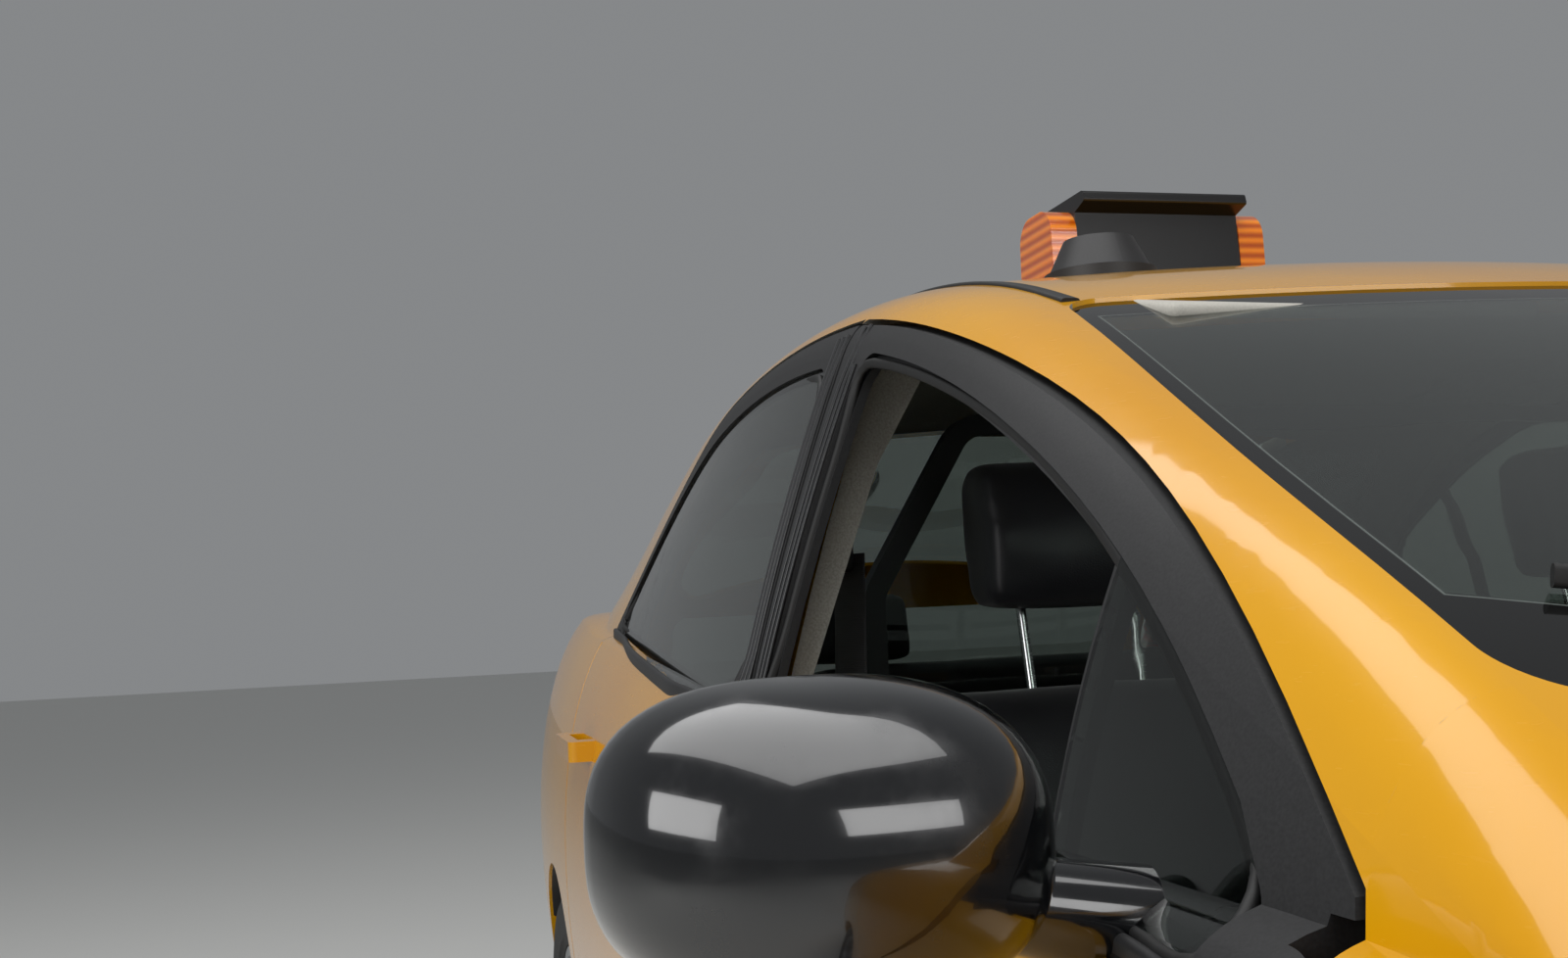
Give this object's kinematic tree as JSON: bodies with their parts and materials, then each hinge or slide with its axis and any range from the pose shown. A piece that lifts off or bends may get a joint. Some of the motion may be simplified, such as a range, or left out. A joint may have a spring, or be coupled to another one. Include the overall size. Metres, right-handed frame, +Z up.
{
  "type": "taxi cab",
  "caption": "Yellow five-door hatchback taxi with a roof sign, a cab partition, black door window frames, opening doors, hood and tailgate, and steered front wheels.",
  "frame": {"origin": "on the floor below the middle of the car's box", "axes": "+X forward, +Y to the car's left, +Z up"},
  "size_m": [4.478, 2.11, 1.702],
  "materials": {
    "yellow_paint": "glossy taxi yellow",
    "black_paint": "matte black",
    "grey_steel": "grey primer, road dirt",
    "cast_iron": "rough cast",
    "wheel_steel": "silver wheel paint",
    "tyre_rubber": "matte",
    "glass": "clear",
    "tinted_glass": "tinted",
    "black_plastic": "moulded grain",
    "gloss_black": "glossy black",
    "lamp_lens": "clear lens",
    "red_lens": "red lens",
    "amber_lens": "amber ribbed lens",
    "seat_vinyl": "black vinyl",
    "dash_plastic": "dark grey moulded grain",
    "exhaust_steel": "dull",
    "plate_white": "blank plate"
  },
  "bodies": {
    "root": {"antenna_puck": "black_plastic", "body_side_left": "yellow_paint", "body_side_right": "yellow_paint", "cowl_panel": "black_plastic", "dashboard": "dash_plastic", "drive_shafts": "grey_steel", "engine_block": "cast_iron", "exhaust": "exhaust_steel", "floor_pan": "grey_steel", "front_bumper": "yellow_paint", "front_fenders": "yellow_paint", "front_seats": "seat_vinyl", "front_structure": "grey_steel", "front_subframe": "grey_steel", "fuel_tank": "black_plastic", "grille": "black_plastic", "headlamps": "lamp_lens", "number_plates": "plate_white", "partition_frame": "black_paint", "partition_pane": "glass", "rear_axle": "grey_steel", "rear_bench": "seat_vinyl", "rear_bumper": "yellow_paint", "roof_panel": "yellow_paint", "roof_sign": "gloss_black", "sign_lamps": "amber_lens", "tail_lamps": "red_lens", "windscreen": "glass"},
    "hood": {"hood": "yellow_paint"},
    "tailgate": {"tailgate": "yellow_paint", "tailgate_glass": "tinted_glass"},
    "steering_wheel": {"steering_wheel": "dash_plastic"},
    "door_front_left": {"door_front_left": "yellow_paint", "glass_front_left": "tinted_glass", "mirror_left": "gloss_black"},
    "door_rear_left": {"door_rear_left": "yellow_paint", "glass_rear_left": "tinted_glass"},
    "knuckle_left": {"knuckle_left": "cast_iron"},
    "front_wheel_left": {"wheel_front_left": "wheel_steel", "tyre_front_left": "tyre_rubber"},
    "rear_wheel_left": {"wheel_rear_left": "wheel_steel", "tyre_rear_left": "tyre_rubber"},
    "door_front_right": {"door_front_right": "yellow_paint", "glass_front_right": "tinted_glass", "mirror_right": "gloss_black"},
    "door_rear_right": {"door_rear_right": "yellow_paint", "glass_rear_right": "tinted_glass"},
    "knuckle_right": {"knuckle_right": "cast_iron"},
    "front_wheel_right": {"wheel_front_right": "wheel_steel", "tyre_front_right": "tyre_rubber"},
    "rear_wheel_right": {"wheel_rear_right": "wheel_steel", "tyre_rear_right": "tyre_rubber"}
  },
  "joints": [
    {"name": "front_door_left", "type": "hinge", "parent": "root", "child": "door_front_left", "pos_m": [0.836, 0.842, 0.62], "axis": [0, 0, -1], "range_deg": [0, 66]},
    {"name": "rear_door_left", "type": "hinge", "parent": "root", "child": "door_rear_left", "pos_m": [-0.17, 0.842, 0.66], "axis": [0, 0, -1], "range_deg": [0, 68]},
    {"name": "steer_left", "type": "hinge", "parent": "root", "child": "knuckle_left", "pos_m": [1.305, 0.69, 0.185], "axis": [0, -0.156, 0.9878], "range_deg": [-35, 35]},
    {"name": "spin_front_left", "type": "hinge", "parent": "knuckle_left", "child": "front_wheel_left", "pos_m": [1.305, 0.762, 0.317], "axis": [0, 1, 0], "continuous": true},
    {"name": "spin_rear_left", "type": "hinge", "parent": "root", "child": "rear_wheel_left", "pos_m": [-1.395, 0.762, 0.317], "axis": [0, 1, 0], "continuous": true},
    {"name": "front_door_right", "type": "hinge", "parent": "root", "child": "door_front_right", "pos_m": [0.836, -0.842, 0.62], "axis": [0, 0, 1], "range_deg": [0, 66]},
    {"name": "rear_door_right", "type": "hinge", "parent": "root", "child": "door_rear_right", "pos_m": [-0.17, -0.842, 0.66], "axis": [0, 0, 1], "range_deg": [0, 68]},
    {"name": "steer_right", "type": "hinge", "parent": "root", "child": "knuckle_right", "pos_m": [1.305, -0.69, 0.185], "axis": [0, 0.156, 0.9878], "range_deg": [-35, 35]},
    {"name": "spin_front_right", "type": "hinge", "parent": "knuckle_right", "child": "front_wheel_right", "pos_m": [1.305, -0.762, 0.317], "axis": [0, 1, 0], "continuous": true},
    {"name": "spin_rear_right", "type": "hinge", "parent": "root", "child": "rear_wheel_right", "pos_m": [-1.395, -0.762, 0.317], "axis": [0, 1, 0], "continuous": true},
    {"name": "hood_hinge", "type": "hinge", "parent": "root", "child": "hood", "pos_m": [1.043, 0, 0.976], "axis": [0, -1, 0], "range_deg": [0, 55]},
    {"name": "tailgate_hinge", "type": "hinge", "parent": "root", "child": "tailgate", "pos_m": [-1.196, 0, 1.438], "axis": [0, 1, 0], "range_deg": [0, 75]},
    {"name": "steering_wheel_turn", "type": "hinge", "parent": "root", "child": "steering_wheel", "pos_m": [0.4, 0.37, 0.905], "axis": [-0.9363, 0, 0.3512], "range_deg": [-507, 507]}
  ],
  "couplings": [
    {"joint": "steer_right", "follows": "steer_left", "ratio": 1},
    {"joint": "steering_wheel_turn", "follows": "steer_left", "ratio": 14.4}
  ]
}
